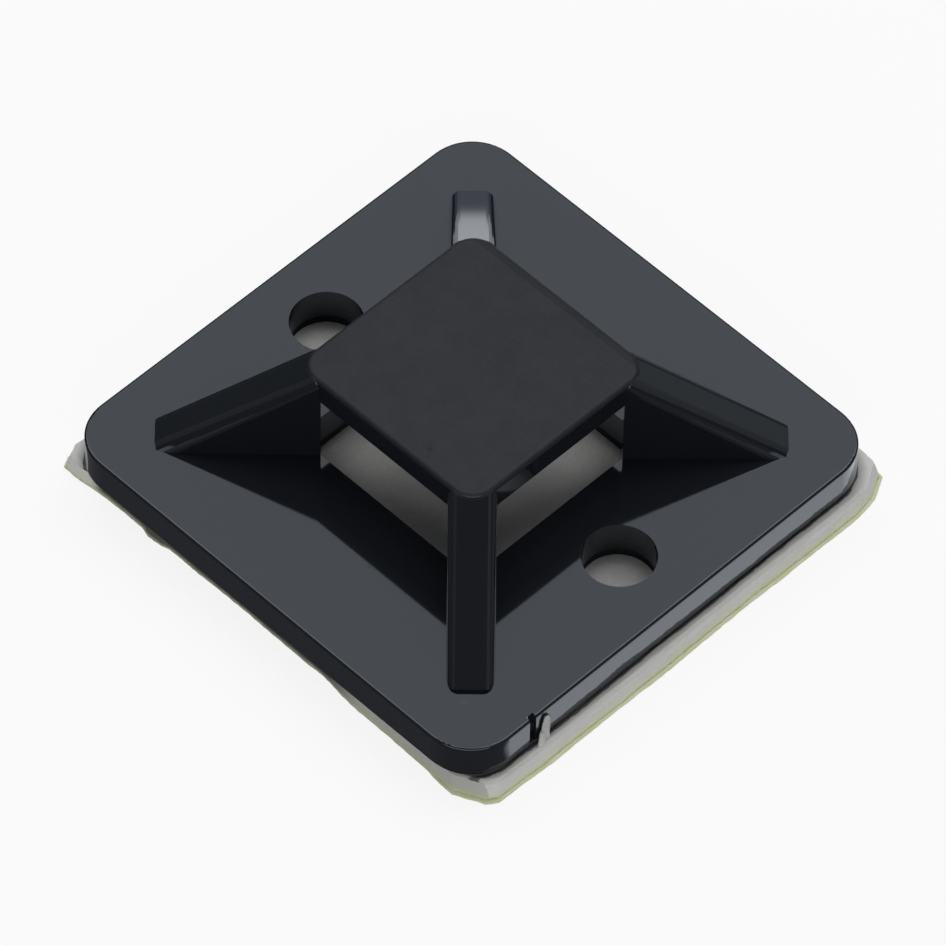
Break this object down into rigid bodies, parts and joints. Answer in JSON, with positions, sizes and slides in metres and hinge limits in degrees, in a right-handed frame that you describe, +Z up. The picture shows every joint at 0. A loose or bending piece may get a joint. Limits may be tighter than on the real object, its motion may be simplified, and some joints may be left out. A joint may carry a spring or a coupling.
{
  "type": "cable tie mount",
  "caption": "Square self-adhesive cable tie mount: a raised square cap on sloping diagonal legs over a windowed base plate with screw holes, on foam tape with its release liner.",
  "frame": {"origin": "on the underside of the release liner, below the middle of the square base plate", "axes": "+X along the line of the screw holes, +Y across it, +Z up from the panel towards the cap"},
  "size_m": [0.0315, 0.0307, 0.0098],
  "materials": {
    "nylon": "black moulded nylon, glossy plate and fine matte cap",
    "foam": "light grey closed-cell foam tape, cut by hand",
    "liner": "pale yellow-green release liner, waxy"
  },
  "bodies": {
    "root": {"mount_body": "nylon", "foam_pad": "foam", "release_liner": "liner"}
  },
  "joints": []
}
